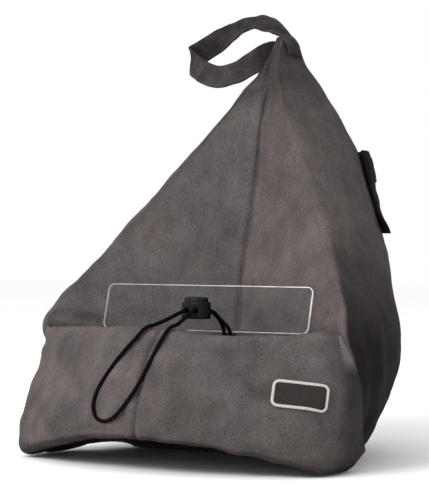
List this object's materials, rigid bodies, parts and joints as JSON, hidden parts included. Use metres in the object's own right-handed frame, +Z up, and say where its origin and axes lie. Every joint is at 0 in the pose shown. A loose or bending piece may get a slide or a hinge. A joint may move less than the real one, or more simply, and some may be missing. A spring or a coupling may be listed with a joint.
{
  "type": "book rest pillow",
  "caption": "Filled four-sided cushion with a front ledge that holds a book open behind a clear page plate and an elastic cord, with a hand strap at its apex.",
  "frame": {"origin": "centre of the cushion's flat base, on the surface it stands on", "axes": "+Z up towards the apex, -Y towards the reader, +X to the right as the reader sees it"},
  "size_m": [0.2815, 0.2938, 0.3588],
  "materials": {
    "suede": "brushed nap, matt",
    "pocket_cloth": "matt woven",
    "clear_plate": "clear acrylic",
    "elastic": "braided",
    "lock_plastic": "satin moulded",
    "patch": "plain woven"
  },
  "bodies": {
    "pillow": {"body_cushion": "suede", "front_ledge": "suede", "hand_strap": "suede", "back_pocket": "pocket_cloth", "page_plate": "clear_plate", "elastic_cord": "elastic", "lock_barrel": "lock_plastic", "sewn_patch": "patch"},
    "button": {"lock_button": "lock_plastic"}
  },
  "joints": [
    {"name": "button_press", "type": "slide", "parent": "pillow", "child": "button", "axis": [0, 0, 1], "range_m": [-0.0022, 0], "stiffness_N_per_m": 300, "springref_m": 0.001}
  ]
}
